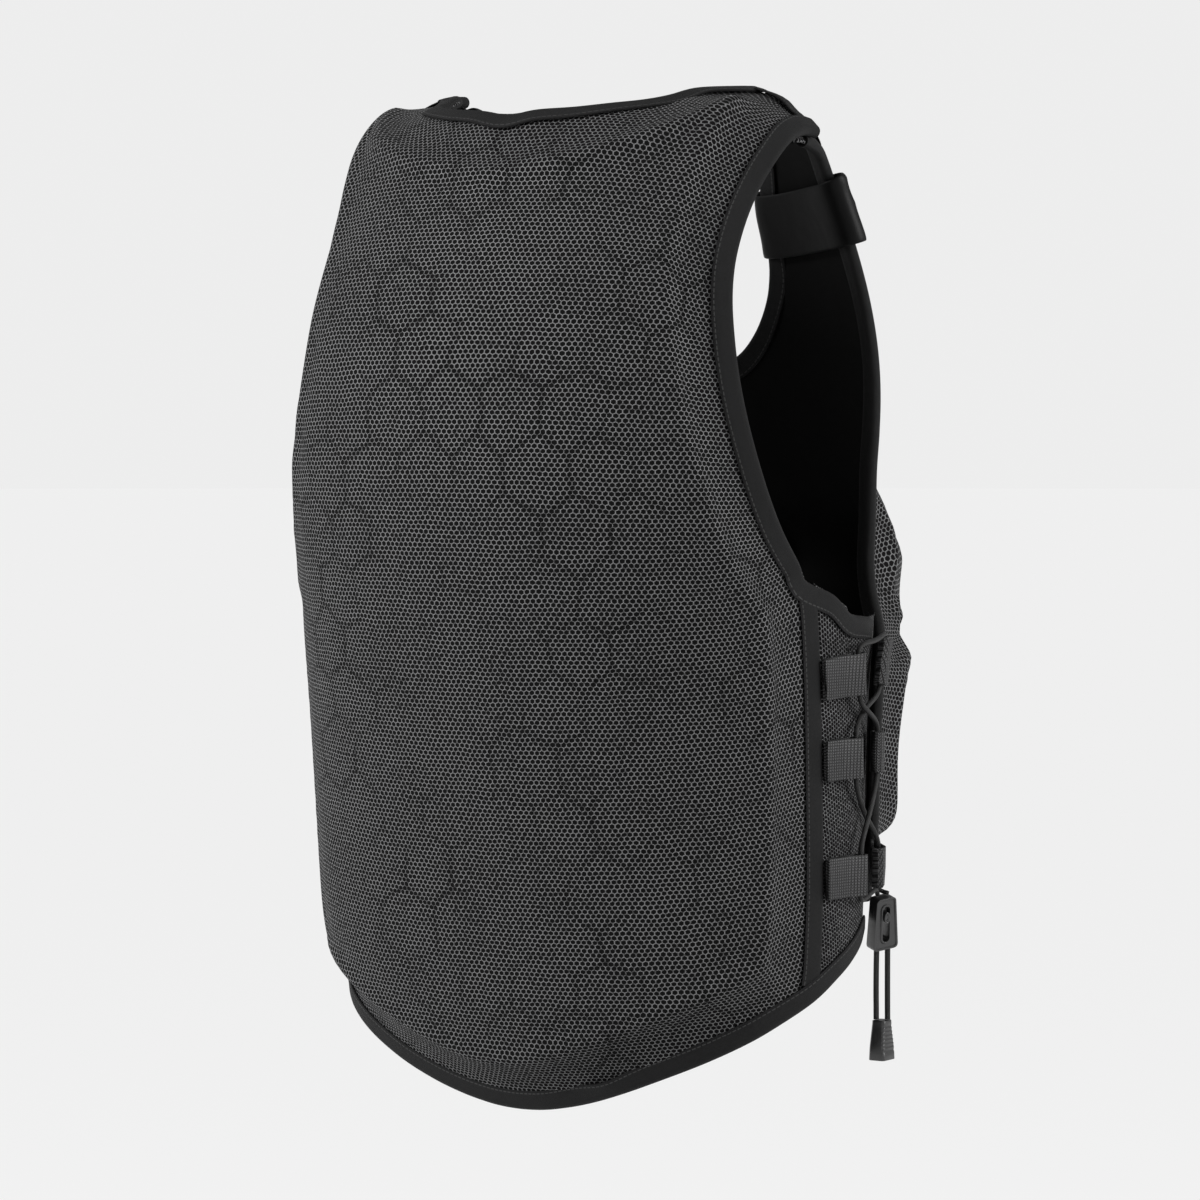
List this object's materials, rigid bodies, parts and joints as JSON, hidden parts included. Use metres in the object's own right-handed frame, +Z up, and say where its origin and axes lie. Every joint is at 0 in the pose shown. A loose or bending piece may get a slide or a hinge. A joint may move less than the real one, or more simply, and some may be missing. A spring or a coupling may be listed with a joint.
{
  "type": "equestrian body protector",
  "caption": "Padded mesh riding vest in its worn shape, with bound edges, laced stretch sides, shoulder straps held by tabs and a cord lock on each side.",
  "frame": {"origin": "midway between the undersides of the two shoulder straps at their ridge, where the vest sits on the wearer", "axes": "+Z up along the body, +Y towards the wearer's back, +X towards the wearer's left; the wearer faces -Y"},
  "size_m": [0.375, 0.3377, 0.615],
  "materials": {
    "mesh_cloth": "black spacer mesh over foam",
    "tape_cloth": "charcoal binding tape",
    "flat_cloth": "black woven cloth",
    "webbing": "ribbed black webbing",
    "elastic_cord": "braided dark elastic cord",
    "hard_plastic": "satin black moulded plastic"
  },
  "bodies": {
    "vest": {"back_panel": "mesh_cloth", "front_panel_right": "mesh_cloth", "front_panel_left": "mesh_cloth", "side_gusset_right": "mesh_cloth", "side_gusset_left": "mesh_cloth", "hem_binding": "tape_cloth", "neck_binding_back": "tape_cloth", "armhole_binding_right": "tape_cloth", "armhole_binding_left": "tape_cloth", "strap_end_binding_right": "tape_cloth", "strap_end_binding_left": "tape_cloth", "side_binding_right": "tape_cloth", "side_binding_left": "tape_cloth", "front_binding_right": "tape_cloth", "front_binding_left": "tape_cloth", "front_neck_binding_right": "tape_cloth", "front_neck_binding_left": "tape_cloth", "front_zip": "flat_cloth", "shoulder_tab_right": "flat_cloth", "shoulder_tab_left": "flat_cloth", "shoulder_keeper_right": "flat_cloth", "shoulder_keeper_left": "flat_cloth", "lace_loop_rear_1_right": "webbing", "lace_loop_rear_2_right": "webbing", "lace_loop_rear_3_right": "webbing", "lace_loop_front_1_right": "webbing", "lace_loop_front_2_right": "webbing", "lace_loop_front_3_right": "webbing", "lace_loop_rear_1_left": "webbing", "lace_loop_rear_2_left": "webbing", "lace_loop_rear_3_left": "webbing", "lace_loop_front_1_left": "webbing", "lace_loop_front_2_left": "webbing", "lace_loop_front_3_left": "webbing", "lace_cord_right": "elastic_cord", "lace_cord_left": "elastic_cord", "tail_cord_1_right": "elastic_cord", "tail_cord_2_right": "elastic_cord", "tail_cord_1_left": "elastic_cord", "tail_cord_2_left": "elastic_cord", "cord_lock_right": "hard_plastic", "cord_lock_left": "hard_plastic", "cord_end_right": "hard_plastic", "cord_end_left": "hard_plastic"},
    "slider_right": {"lock_slider_right": "hard_plastic"},
    "slider_left": {"lock_slider_left": "hard_plastic"}
  },
  "joints": [
    {"name": "slider_right_slide", "type": "slide", "parent": "vest", "child": "slider_right", "axis": [-0.1556, 0.2275, 0.9613], "range_m": [-0.011, 0.0026]},
    {"name": "slider_left_slide", "type": "slide", "parent": "vest", "child": "slider_left", "axis": [0.1556, 0.2275, 0.9613], "range_m": [-0.011, 0.0026]}
  ]
}
